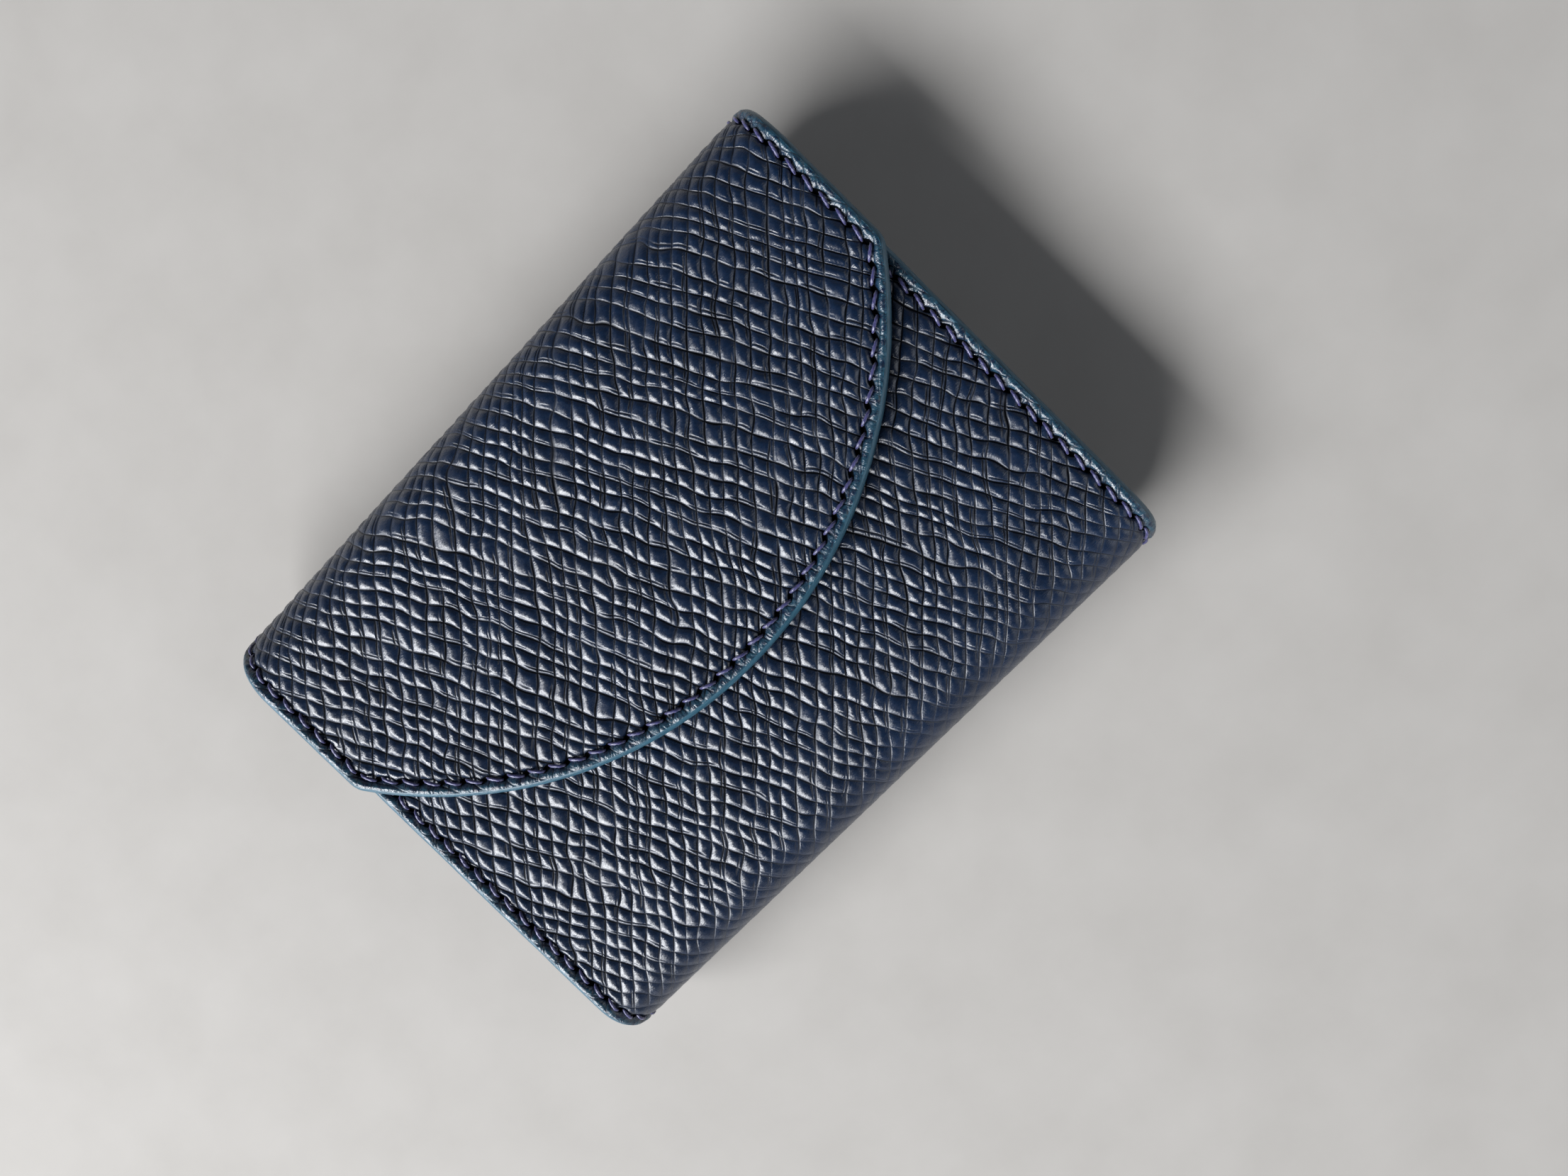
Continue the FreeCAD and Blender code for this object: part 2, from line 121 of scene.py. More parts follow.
def fold_turns(s):
    """How far the sheet has turned at s round the bottom fold, and how far round the top fold."""
    return np.clip((s - S_FRONT) / BOTTOM_R, 0, math.pi), np.clip((s - S_TOP) / TOP_R, 0, math.pi)


def place(x, s, height=0.0):
    """The point at sheet coordinates x and s, this far outside the sheet's outer face."""
    x, s = np.broadcast_arrays(np.asarray(x, float), np.asarray(s, float))
    bottom, top = fold_turns(s)
    turn = bottom + top
    y = MOUTH_Y - np.minimum(s, S_FRONT) - BOTTOM_R * np.sin(bottom)
    y = y + np.clip(s - S_BACK, 0, S_TOP - S_BACK) + TOP_R * np.sin(top) - np.maximum(s - S_FLAP, 0)
    z = BOTTOM_R * (1 + np.cos(bottom)) + TOP_R * (1 - np.cos(top))
    return np.stack([x, y - np.sin(turn) * height, z + np.cos(turn) * height], axis=-1)


def outward(s):
    """The direction out of the sheet's outer face at s."""
    turn = sum(fold_turns(np.asarray(s, float)))
    return np.stack([np.zeros_like(turn), -np.sin(turn), np.cos(turn)], axis=-1)


# How far the stitching draws the sides in at each fold, and along how much of the sheet
FOLD_DRAWS = ((S_BOTTOM_CREST, 0.8, 3.6), (S_TOP_CREST, 0.9, 3.2))


def half_width(s):
    """The flap is a little wider than the pocket, and the stitching draws the sides in at the folds."""
    width = HALF_WIDTH + (HALF_FLAP - HALF_WIDTH) * np.clip((s - S_TOP) / (S_FLAP - S_TOP), 0, 1)
    for crest, depth, reach in FOLD_DRAWS:
        width = width - depth * np.exp(-((s - crest) / reach) ** 2)
    return width


# Noise and grain

def noise(x, y, scale, seed):
    """Smooth noise from -1 to 1 whose bumps are about this size."""
    table = np.random.default_rng(seed).uniform(-1, 1, (256, 256))
    u, v = x / scale, y / scale
    i, j = np.floor(u).astype(int), np.floor(v).astype(int)
    f, g = u - i, v - j
    f, g = f ** 3 * (f * (f * 6 - 15) + 10), g ** 3 * (g * (g * 6 - 15) + 10)
    here, right = table[i % 256, j % 256], table[(i + 1) % 256, j % 256]
    above, beyond = table[i % 256, (j + 1) % 256], table[(i + 1) % 256, (j + 1) % 256]
    return (here * (1 - f) + right * f) * (1 - g) + (above * (1 - f) + beyond * f) * g


# The hatch grain is two families of creases that cross and leave small pillows between them. "pitch" is the
# distance between creases, and "least" is how faint a crease may get where it fades.
CREASE_FAMILIES = (
    {"angle": -63, "pitch": 2.17, "least": 0.60, "seed": 11},
    {"angle": 46, "pitch": 2.08, "least": 0.40, "seed": 47},
)
CREASE_DEPTH = 0.36
CREASE_REACH = 0.42

# How creases wander: how far, and the size of the waves. Crowding and jostling are in pitches, and their
# waves are drawn out this many times along the creases.
DRIFT, DRIFT_SIZE = 1.3, 40
SWAY, SWAY_SIZE = 0.6, 17
WOBBLE, WOBBLE_SIZE = 0.24, 3.4
CROWDING, CROWDING_SIZE, CROWDING_LENGTH = 0.36, 2.3, 11
JOSTLE, JOSTLE_SIZE, JOSTLE_LENGTH = 0.13, 1.1, 3
STRENGTH, STRENGTH_SPREAD, STRENGTH_SIZE = 0.9, 0.6, 3.1

# How much of the grain is lost to bending at each fold, and over how much of the sheet
GRAIN_LOSSES = ((S_BOTTOM_CREST, 0.90, 11.5), (S_TOP_CREST, 0.60, 11.0))

# The pores on the pillows of the grain, and how unlike each other the pillows are
PORE_HEIGHT, PORE_SIZE = 0.010, 0.8
PILLOW_HEIGHT, PILLOW_SIZE = 0.05, 2.2


def crease_family(x, t, angle, pitch, least, seed):
    """The phase of each point, which is a whole number along each crease, and the creases' strength."""
    a = math.radians(angle)
    across = -x * math.sin(a) + t * math.cos(a)
    along = x * math.cos(a) + t * math.sin(a)
    wavy = across + DRIFT * noise(x, t, DRIFT_SIZE, seed + 5)
    wavy = wavy + SWAY * noise(along, across / 2, SWAY_SIZE, seed)
    wavy = wavy + WOBBLE * noise(x, t, WOBBLE_SIZE, seed + 1)
    even = wavy / pitch
    crowding = CROWDING * noise(even, along / CROWDING_LENGTH, CROWDING_SIZE, seed + 2)
    jostle = JOSTLE * noise(even, along / JOSTLE_LENGTH, JOSTLE_SIZE, seed + 3)
    phase = even + crowding + jostle
    strength = STRENGTH + STRENGTH_SPREAD * noise(x, t, STRENGTH_SIZE, seed + 4)
    return phase, np.clip(strength, least, 1)


def stretched(s):
    """How much of the grain is left at s, where bending has stretched the leather over the folds."""
    left = 1.0
    for crest, depth, reach in GRAIN_LOSSES:
        left = left * (1 - depth * np.exp(-((s - crest) / reach) ** 2))
    return left


def grain(x, s):
    """The hatch grain's height, at most 0, with the phases and strengths of its two families of creases."""
    between = np.ones_like(x)
    phases, strengths = [], []
    for family in CREASE_FAMILIES:
        phase, strength = crease_family(x, -s, **family)
        distance = np.abs(phase - np.round(phase)) * family["pitch"]
        between = between * (1 - strength * np.exp(-(distance / CREASE_REACH) ** 2))
        phases.append(phase)
        strengths.append(strength)
    uneven = PORE_HEIGHT * noise(x, s, PORE_SIZE, 71) + PILLOW_HEIGHT * noise(x, s, PILLOW_SIZE, 72)
    return -CREASE_DEPTH * (1 - between) + uneven, phases, strengths


# Seams

SLIT_ANGLE = math.radians(33)    # the awl's holes slant one way and the stitches between them the other
SLIT_HALF_LENGTH = 0.85
SLIT_HALF_WIDTH = 0.36
HOLE_DEPTH = 0.55
GROOVE_DEPTH = 0.34
GROOVE_REACH = 0.70
PUFF_HEIGHT = 0.12     # of the bulge beside the groove, half way between two holes
PUFF_PINCH = 0.07      # how much lower it is at a hole
PUFF_PLACE = 1.0       # from the seam, towards the edge
PUFF_REACH = 0.45


def seam_dents(phase, across):
    """The hollow that a line of stitches presses into leather, with an awl hole at each whole phase."""
    hollow = -GROOVE_DEPTH * np.exp(-(across / GROOVE_REACH) ** 2)
    from_hole = (phase - np.round(phase)) * STITCH_PITCH
    lengthwise = from_hole * math.cos(SLIT_ANGLE) + across * math.sin(SLIT_ANGLE)
    sideways = across * math.cos(SLIT_ANGLE) - from_hole * math.sin(SLIT_ANGLE)
    hole = -HOLE_DEPTH * np.exp(-(lengthwise / SLIT_HALF_LENGTH) ** 2 - (sideways / SLIT_HALF_WIDTH) ** 2)
    pinch = 0.5 + 0.5 * np.cos(2 * math.pi * phase)
    puff = (PUFF_HEIGHT - PUFF_PINCH * pinch) * np.exp(-((across + PUFF_PLACE) / PUFF_REACH) ** 2)
    return hollow + hole + puff


def whole_pitch(length):
    """The stitch pitch that divides a seam of this length into whole stitches."""
    return length / max(1, round(length / STITCH_PITCH))


# The lengths of the three parts of one half of the flap's seam, from the middle of its tip
SEAM_ARC = (ARC_R - SEAM_INSET) * ARC_HALF
SEAM_CORNER = (FLAP_CORNER_R - SEAM_INSET) * CORNER_SWEEP
SEAM_STRAIGHT = S_FLAP + TOP_Y - CORNER_Y - S_TOP_CREST
HALF_SEAM = SEAM_ARC + SEAM_CORNER + SEAM_STRAIGHT


def flap_edge_coordinates(x, s):
    """The distance in from the flap's edge, and that along the flap's seam from the middle of its tip."""
    y = TOP_Y - (s - S_FLAP)
    side = np.abs(x)
    arc_turn = np.arctan2(side, np.maximum(ARC_Y - y, 1e-6))
    corner_turn = np.arctan2(np.maximum(CORNER_Y - y, 0), np.maximum(side - CORNER_X, 1e-6))
    parts = [(arc_turn < ARC_HALF) & (s > S_FLAP), (y > CORNER_Y) | (s <= S_FLAP)]
    inset = np.select(
        parts, [ARC_R - np.hypot(x, ARC_Y - y), half_width(s) - side],
        FLAP_CORNER_R - np.hypot(side - CORNER_X, CORNER_Y - y))
    along = np.select(
        parts, [(ARC_R - SEAM_INSET) * arc_turn, HALF_SEAM - (s - S_TOP_CREST)],
        SEAM_ARC + (FLAP_CORNER_R - SEAM_INSET) * (CORNER_SWEEP - corner_turn))
    return inset, np.copysign(along, x)


def flap_edge_points(along, inset):
    """The sheet coordinates at this inset, this far along the flap's seam from the middle of its tip."""
    far = np.abs(along)
    arc_turn = np.minimum(far / (ARC_R - SEAM_INSET), ARC_HALF)
    corner_turn = CORNER_SWEEP - (far - SEAM_ARC) / (FLAP_CORNER_R - SEAM_INSET)
    arc_r, corner_r = ARC_R - inset, FLAP_CORNER_R - inset
    side_s = S_TOP_CREST + HALF_SEAM - far
    parts = [far <= SEAM_ARC, far <= SEAM_ARC + SEAM_CORNER]
    x = np.select(
        parts, [arc_r * np.sin(arc_turn), CORNER_X + corner_r * np.cos(corner_turn)],
        half_width(side_s) - inset)
    y = np.select(
        parts, [ARC_Y - arc_r * np.cos(arc_turn), CORNER_Y - corner_r * np.sin(corner_turn)],
        TOP_Y - (side_s - S_FLAP))
    return np.column_stack([np.copysign(x, along), S_FLAP + TOP_Y - y])


# Mesh building

def linked(name, data):
    """A new object of the scene with this data."""
    made = bpy.data.objects.new(name, data)
    bpy.context.scene.collection.objects.link(made)
    return made


def new_object(name, vertices, faces, material):
    mesh = bpy.data.meshes.new(name)
    mesh.from_pydata((np.asarray(vertices) * MM).tolist(), [], faces)
    mesh.update()
    mesh.polygons.foreach_set("use_smooth", [True] * len(mesh.polygons))
    mesh.materials.append(material)
    return linked(name, mesh)


def add_attribute(piece, name, values):
    """Three numbers for each vertex, for a material to read."""
    attribute = piece.data.attributes.new(name, "FLOAT_VECTOR", "POINT")
    attribute.data.foreach_set("vector", np.asarray(values, np.float32).ravel())


def triples(*values):
    """The values side by side, as three numbers for each point."""
    values = np.broadcast_arrays(*values, *[0.0] * (3 - len(values)))
    return np.stack(values, axis=-1)


def unit(vectors):
    return vectors / np.linalg.norm(vectors, axis=-1, keepdims=True)


def path_normals(path):
    """The unit normal at each point of a flat path, to the left of its direction."""
    direction = unit(np.gradient(path, axis=0))
    return np.column_stack([-direction[:, 1], direction[:, 0]])


def path_lengths(path):
    """The distance along a path to each of its points."""
    return np.concatenate([[0], np.cumsum(np.linalg.norm(np.diff(path, axis=0), axis=1))])


def border(n, m):
    """The border cells of an n by m grid, in order round it."""
    down = [(i, 0) for i in range(n - 1)] + [(n - 1, j) for j in range(m - 1)]
    return down + [(i, m - 1) for i in range(n - 1, 0, -1)] + [(0, j) for j in range(m - 1, 0, -1)]


def slab(name, top, under, material, stride=1, flip=False, attributes=None, normals=None):
    """A closed piece of leather: a fine grid of top points, a coarser underside and a rim round it. Each
    attribute has three numbers for each point of the grid."""
    n, m = top.shape[:2]
    top_index = np.arange(n * m).reshape(n, m)
    a, b, c, d = top_index[:-1, :-1], top_index[:-1, 1:], top_index[1:, 1:], top_index[1:, :-1]
    faces = np.stack([a, b, c, d], axis=-1).reshape(-1, 4).tolist()
    rows = sorted(set(range(0, n, stride)) | {n - 1})
    columns = sorted(set(range(0, m, stride)) | {m - 1})
    loop = border(n, m)
    kept = list(dict.fromkeys(loop + [(i, j) for i in rows for j in columns]))
    under_index = {cell: n * m + k for k, cell in enumerate(kept)}
    for cell, following in zip(loop, loop[1:] + loop[:1]):
        faces.append([top_index[cell], top_index[following], under_index[following], under_index[cell]])
    for i0, i1 in zip(rows, rows[1:]):
        for j0, j1 in zip(columns, columns[1:]):
            low_side = [(i, j0) for i in (range(i0, i1) if j0 == 0 else [i0])]
            far_side = [(i1, j) for j in (range(j0, j1) if i1 == n - 1 else [j0])]
            high_side = [(i, j1) for i in (range(i1, i0, -1) if j1 == m - 1 else [i1])]
            near_side = [(i0, j) for j in (range(j1, j0, -1) if i0 == 0 else [j1])]
            faces.append([under_index[cell] for cell in low_side + far_side + high_side + near_side])
    if flip:
        faces = [face[::-1] for face in faces]
    at_kept = tuple(np.array(kept).T)
    piece = new_object(name, np.vstack([top.reshape(-1, 3), under[at_kept]]), faces, material)
    for key, values in (attributes or {}).items():
        add_attribute(piece, key, np.vstack([values.reshape(-1, 3), values[at_kept]]))
    if normals is not None:
        automatic = np.zeros((len(kept), 3))
        normals = np.vstack([normals.reshape(-1, 3), automatic])
        piece.data.normals_split_custom_set_from_vertices(normals.tolist())
    return piece


def grid_normals(points):
    """The normal at each point of a grid, on the side that place() calls outward."""
    return unit(np.cross(np.gradient(points, axis=1), np.gradient(points, axis=0)))


def tube_faces(index):
    """The faces of a closed tube, given the indices of its rings of points. The last two are its caps."""
    turned = np.roll(index, -1, axis=1)
    sides = np.stack([index[:-1], turned[:-1], turned[1:], index[1:]], axis=-1).reshape(-1, 4)
    return sides.tolist() + [index[0][::-1].tolist(), index[-1].tolist()]


def tube(name, rings, material, sheet):
    """A closed tube through rings of points, with a flat cap on each end."""
    n, m = rings.shape[:2]
    faces = tube_faces(np.arange(n * m).reshape(n, m))
    piece = new_object(name, rings.reshape(-1, 3), faces, material)
    for cap in piece.data.polygons[-2:]:
        cap.use_smooth = False
    add_attribute(piece, "sheet", sheet.reshape(-1, 3))
    return piece


# Materials

def set_ramp(node, places, colours):
    for stop, position, colour in zip(node.color_ramp.elements, places, colours):
        stop.position = position
        stop.color = (*colour, 1) if isinstance(colour, tuple) else (colour, colour, colour, 1)


class Shading:
    """A new material, with short ways to add nodes. A value may be a number or another node's output."""

    def __init__(self, name):
        self.material = bpy.data.materials.new(name)
        self.material.use_nodes = True
        self.nodes = self.material.node_tree.nodes
        self.links = self.material.node_tree.links
        self.shader = self.nodes["Principled BSDF"]

    def feed(self, socket, value):
        if isinstance(value, (int, float, tuple)):
            socket.default_value = value
        else:
            self.links.new(value, socket)

    def set(self, name, value):
        self.feed(self.shader.inputs[name], value)

    def node(self, kind, *values):
        """A new node of this kind, whose first inputs take these values."""
        made = self.nodes.new(f"ShaderNode{kind}")
        for socket, value in zip(made.inputs, values):
            self.feed(socket, value)
        return made

    def attribute(self, name):
        node = self.node("Attribute")
        node.attribute_name = name
        return node.outputs["Vector"]

    def parts(self, vector):
        return self.node("SeparateXYZ", vector).outputs

    def vector(self, *values):
        return self.node("CombineXYZ", *values).outputs[0]

    def maths(self, operation, *values):
        node = self.node("Math", *values)
        node.operation = operation
        return node.outputs[0]

    def times(self, first, second):
        return self.maths("MULTIPLY", first, second)

    def step(self, value, start, end):
        """0 before start and 1 after end, with a smooth rise between. The rise may run backwards."""
        numbers = (start, end, 0.0, 1.0) if start < end else (end, start, 1.0, 0.0)
        node = self.node("MapRange", value, *numbers)
        node.interpolation_type = "SMOOTHSTEP"
        return node.outputs[0]

    def groove(self, distance, reach):
        """1 at no distance, falling in a sharp V to 0 at this reach."""
        node = self.node("MapRange", distance, 0.0, reach, 1.0, 0.0)
        return self.maths("POWER", node.outputs[0], GROOVE_CURVE)

    def noise(self, vector, scale, detail=3.0, roughness=0.55, stretch=None, turn=0.0):
        """Noise from 0 to 1, which may be drawn out along one direction."""
        if stretch:
            mapping = self.node("Mapping", vector)
            mapping.inputs["Rotation"].default_value = (0, 0, turn)
            mapping.inputs["Scale"].default_value = stretch
            vector = mapping.outputs["Vector"]
        node = self.node("TexNoise", vector)
        node.inputs["Scale"].default_value = scale
        node.inputs["Detail"].default_value = detail
        node.inputs["Roughness"].default_value = roughness
        return node.outputs["Fac"]

    def cells(self, vector, scale):
        node = self.node("TexVoronoi", vector)
        node.inputs["Scale"].default_value = scale
        return node.outputs["Distance"]

    def ramp(self, value, low_at, low_colour, high_at, high_colour):
        """A colour, or a grey given as one number, that changes between two places."""
        node = self.node("ValToRGB", value)
        set_ramp(node, (low_at, high_at), (low_colour, high_colour))
        return node.outputs["Color"]

    def mix(self, share, first, second, kind="MIX"):
        node = self.node("Mix", share)
        node.data_type = "RGBA"
        node.blend_type = kind
        self.feed(node.inputs[6], (*first, 1) if isinstance(first, tuple) else first)
        self.feed(node.inputs[7], (*second, 1) if isinstance(second, tuple) else second)
        return node.outputs[2]

    def bump(self, height, depth, under=None):
        """A relief as deep as this many millimetres, on top of another one."""
        node = self.node("Bump")
        node.inputs["Distance"].default_value = depth * MM
        self.feed(node.inputs["Height"], height)
        if under is not None:
            self.feed(node.inputs["Normal"], under)
        return node.outputs["Normal"]


DARK_NAVY, LIGHT_NAVY = (0.0026, 0.0105, 0.0310), (0.0050, 0.0165, 0.0450)
RUBBED_NAVY = (0.012, 0.046, 0.076)
DARK_PAINT, LIGHT_PAINT = (0.012, 0.052, 0.086), (0.032, 0.108, 0.160)
LINE_REACH = 0.21      # half the width of the sharp line in a crease
GROOVE_CURVE = 1.4     # above 1, the sides of a groove curve in to its middle
TWIN_OFFSET = 0.21     # from a crease to its twin, in pitches
TWIN_REACH = 0.18
TWIN_STRENGTH = 0.8


def crease_lines(look, sheet, phase, strength, pitch):
    """The sharp middle of each crease of one family, with fainter twins beside stretches of some."""
    line = look.maths("ROUND", phase)
    offset = look.maths("SUBTRACT", phase, line)
    distance = look.times(look.maths("ABSOLUTE", offset), pitch)
    main = look.times(look.groove(distance, LINE_REACH), strength)
    place_on_line = look.parts(sheet)
    stretch = look.vector(
        look.times(place_on_line[0], 0.16), look.times(place_on_line[1], 0.16),
        look.times(line, 3.7))
    lasts = look.step(look.noise(stretch, 1.0, detail=1.0), 0.53, 0.66)
    beside = look.maths("ABSOLUTE", look.maths("SUBTRACT", offset, TWIN_OFFSET))
    twin = look.times(look.groove(look.times(beside, pitch), TWIN_REACH), lasts)
    return look.maths("MAXIMUM", main, look.times(twin, TWIN_STRENGTH))


def awl_slits(look, phase, across):
    """1 inside the awl's slits and 0 outside them."""
    offset = look.maths("SUBTRACT", phase, look.maths("ROUND", phase))
    from_hole = look.times(offset, STITCH_PITCH)

    def turned(operation, first, second):
        return look.maths(
            operation, look.times(first, math.cos(SLIT_ANGLE)),
            look.times(second, math.sin(SLIT_ANGLE)))
    lengthwise = turned("ADD", from_hole, across)
    sideways = turned("SUBTRACT", across, from_hole)
    u = look.maths("POWER", look.maths("DIVIDE", lengthwise, SLIT_HALF_LENGTH), 2.0)
    v = look.maths("POWER", look.maths("DIVIDE", sideways, SLIT_HALF_WIDTH), 2.0)
    return look.step(look.maths("ADD", u, v), 1.2, 0.6)


def grained_leather():
    """Glossy navy leather. Its "rim" attribute holds the inset from the edge, the stitch phase and the
    grain's fullness; "hatch" holds the two crease phases and "crease" their strengths."""
    look = Shading("navy_hatch_grain_leather")
    sheet = look.attribute("sheet")
    phases, strengths = look.parts(look.attribute("hatch")), look.parts(look.attribute("crease"))
    inset, stitch_phase, fullness = look.parts(look.attribute("rim"))
    lines = [
        crease_lines(look, sheet, phase, strength, family["pitch"])
        for phase, strength, family in zip(phases, strengths, CREASE_FAMILIES)]
    creases = look.times(look.maths("MAXIMUM", *lines), fullness)
    slits = awl_slits(look, stitch_phase, look.maths("SUBTRACT", inset, SEAM_INSET))

    patches = look.ramp(look.noise(sheet, 0.09), 0.3, DARK_NAVY, 0.7, LIGHT_NAVY)
    mottle = look.ramp(look.noise(sheet, 1.3, detail=4), 0.3, (0.60, 0.64, 0.68), 0.75, (1.0, 1.0, 1.0))
    tops = look.mix(1.0, patches, mottle, "MULTIPLY")
    # Painted shade: the creases and the awl's slits are darkened in the base colour, and the same ramp
    # darkens their specular tint so that they show little reflection
    painted_crease_shade = look.ramp(look.maths("MAXIMUM", creases, slits), 0.10, 1.0, 0.72, 0.03)
    by_edge = look.noise(sheet, 1.1, detail=3)
    rubbed = look.times(look.step(inset, 2.3, 1.3), look.step(by_edge, 0.35, 0.60))
    body = look.mix(1.0, look.mix(rubbed, tops, RUBBED_NAVY), painted_crease_shade, "MULTIPLY")
    look.set("Specular Tint", painted_crease_shade)
    ragged = look.maths("ADD", inset, look.times(look.noise(sheet, 1.6, detail=3), -0.55))
    painted = look.step(ragged, LEATHER_INSET - 0.14, LEATHER_INSET - 0.24)
    look.set("Base Color", look.mix(painted, body, DARK_PAINT))

    polish = look.noise(sheet, 2.0, detail=4)
    shine = look.ramp(polish, 0.25, 0.22, 0.75, 0.35)
    look.set("Roughness", look.mix(look.maths("MAXIMUM", creases, slits), shine, (0.9, 0.9, 0.9)))
    look.set("Specular IOR Level", 0.75)

    pores = look.bump(look.noise(sheet, 6.0, detail=2, roughness=0.5), 0.015)
    hair = look.noise(sheet, 1.0, detail=3, stretch=(1.5, 6.0, 1.0), turn=0.75)
    fine = look.bump(hair, 0.055, pores)
    by_seam = look.vector(look.times(stitch_phase, 5.0), look.times(inset, 0.9), 0.0)
    pinched = look.times(look.noise(by_seam, 1.0, detail=3), look.step(inset, 3.2, 1.6))
    edges = look.bump(pinched, 0.24, fine)
    pressed = look.maths("MAXIMUM", creases, look.times(slits, 2.0))
    look.set("Normal", look.bump(look.maths("SUBTRACT", 1.0, pressed), 0.16, edges))
    return look.material


def smooth_leather(name, dark, light, roughness):
    look = Shading(name)
    sheet = look.attribute("sheet")
    look.set("Base Color", look.ramp(look.noise(sheet, 0.6, detail=5), 0.3, dark, 0.7, light))
    fine = look.noise(sheet, 3.0, detail=6, roughness=0.7)
    look.set("Roughness", look.ramp(fine, 0.3, roughness - 0.06, 0.7, roughness + 0.08))
    look.set("Specular IOR Level", 0.45)
    look.set("Sheen Weight", 0.02)
    look.set("Normal", look.bump(fine, 0.05, look.bump(look.cells(sheet, 2.2), 0.05)))
    return look.material


def painted_edge():
    look = Shading("blue_edge_paint")
    strokes = look.noise(look.attribute("sheet"), 1.0, detail=5, stretch=(0.35, 5.0, 5.0))
    look.set("Base Color", look.ramp(strokes, 0.3, DARK_PAINT, 0.72, LIGHT_PAINT))
    look.set("Roughness", look.ramp(strokes, 0.2, 0.25, 0.8, 0.42))
    look.set("Coat Weight", 0.2)
    look.set("Coat Roughness", 0.3)
    look.set("Normal", look.bump(strokes, 0.10))
    return look.material


def waxed_thread():
    look = Shading("navy_violet_thread")
    fibres = look.noise(look.attribute("sheet"), 3.0, detail=5, stretch=(0.8, 3.0, 3.0))
    look.set("Base Color", look.ramp(fibres, 0.3, (0.014, 0.014, 0.055), 0.72, (0.058, 0.058, 0.190)))
    look.set("Roughness", look.ramp(fibres, 0.2, 0.26, 0.8, 0.42))
    look.set("Specular IOR Level", 0.8)
    look.set("Sheen Weight", 0.15)
    look.set("Normal", look.bump(fibres, 0.05))
    return look.material


def plain_solid(name, dark, light, metallic, roughness):
    """For the magnets and their backing, which are sealed inside the leather."""
    look = Shading(name)
    where = look.node("TexCoord").outputs["Object"]
    speckle = look.noise(where, 900.0, detail=4)
    look.set("Base Color", look.ramp(speckle, 0.3, dark, 0.7, light))
    look.set("Metallic", metallic)
    look.set("Roughness", look.ramp(speckle, 0.2, roughness, 0.8, roughness + 0.15))
    return look.material


GRAINED = grained_leather()
LINING = smooth_leather("navy_smooth_lining", (0.010, 0.018, 0.046), (0.017, 0.028, 0.066), 0.50)
GUSSET = smooth_leather("navy_gusset_leather", (0.008, 0.015, 0.040), (0.014, 0.024, 0.056), 0.46)
PAINT = painted_edge()
THREAD = waxed_thread()


# The shell, in the four stretches that its two folds divide it into. Each stands for the imported nodes of
# some bodies.
REGIONS = {
    "front": {
        "span": (0.0, S_BOTTOM_CREST), "bodies": ("bottom_fold", "front"), "nodes_of": ["front"],
        "from": (0, -HALF_HEIGHT, BOTTOM_R), "to": (0, BOTTOM_Y, FRONT_Z),
    },
    "back_lower": {
        "span": (S_BOTTOM_CREST, S_BACK_MIDDLE), "bodies": ("back", "bottom_fold"),
        "nodes_of": ["bottom_fold", "back"], "from": (0, BOTTOM_Y, 0), "to": (0, -HALF_HEIGHT, BOTTOM_R),
    },
    "back_upper": {
        "span": (S_BACK_MIDDLE, S_TOP_CREST), "bodies": ("back", "top_fold"), "nodes_of": ["top_fold"],
        "from": (0, TOP_Y, 0), "to": (0, HALF_HEIGHT, TOP_R),
    },
    "flap": {
        "span": (S_TOP_CREST, S_FLAP + TOP_Y - TIP_Y), "bodies": ("top_fold", "flap"), "nodes_of": ["flap"],
        "from": (0, HALF_HEIGHT, TOP_R), "to": (0, TOP_Y, FLAP_Z),
    },
}

# The regions whose lining has a magnet behind it
MAGNETS = {"front": "front_magnet", "flap": "flap_magnet"}


def packed_nodes(region, part):
    """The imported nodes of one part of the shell, such as its lining, that the region stands for."""
    return [f"{body}_{part}" for body in REGIONS[region]["nodes_of"]]


def bend(piece):
    """The piece's transform is baked into its mesh."""
    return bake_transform(piece)


def finish_piece(piece, nodes):
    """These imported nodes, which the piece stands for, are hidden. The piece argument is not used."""
    if nodes:
        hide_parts(*nodes)


CORNER_COLUMNS = 12


def column_places(limit, corner_x, step):
    """Places across the sheet, closer together where the flap's edge turns its corner."""
    middle = np.linspace(-corner_x, corner_x, int(2 * corner_x / step) + 1)
    turns = np.linspace(0, math.pi / 2, CORNER_COLUMNS)[1:]
    ends = corner_x + (limit - corner_x) * np.sin(turns)
    return np.concatenate([-ends[::-1], middle, ends])


def flap_end(x):
    """Where the flap's leather ends, for each x."""
    side = np.abs(x)
    arc_r, corner_r = ARC_R - LEATHER_INSET, FLAP_CORNER_R - LEATHER_INSET
    arc = ARC_Y - np.sqrt(arc_r ** 2 - x ** 2)
    corner = CORNER_Y - np.sqrt(np.clip(corner_r ** 2 - (side - CORNER_X) ** 2, 0, None))
    meets = arc_r * math.sin(ARC_HALF)
    return S_FLAP + TOP_Y - np.where(side < meets, arc, corner)


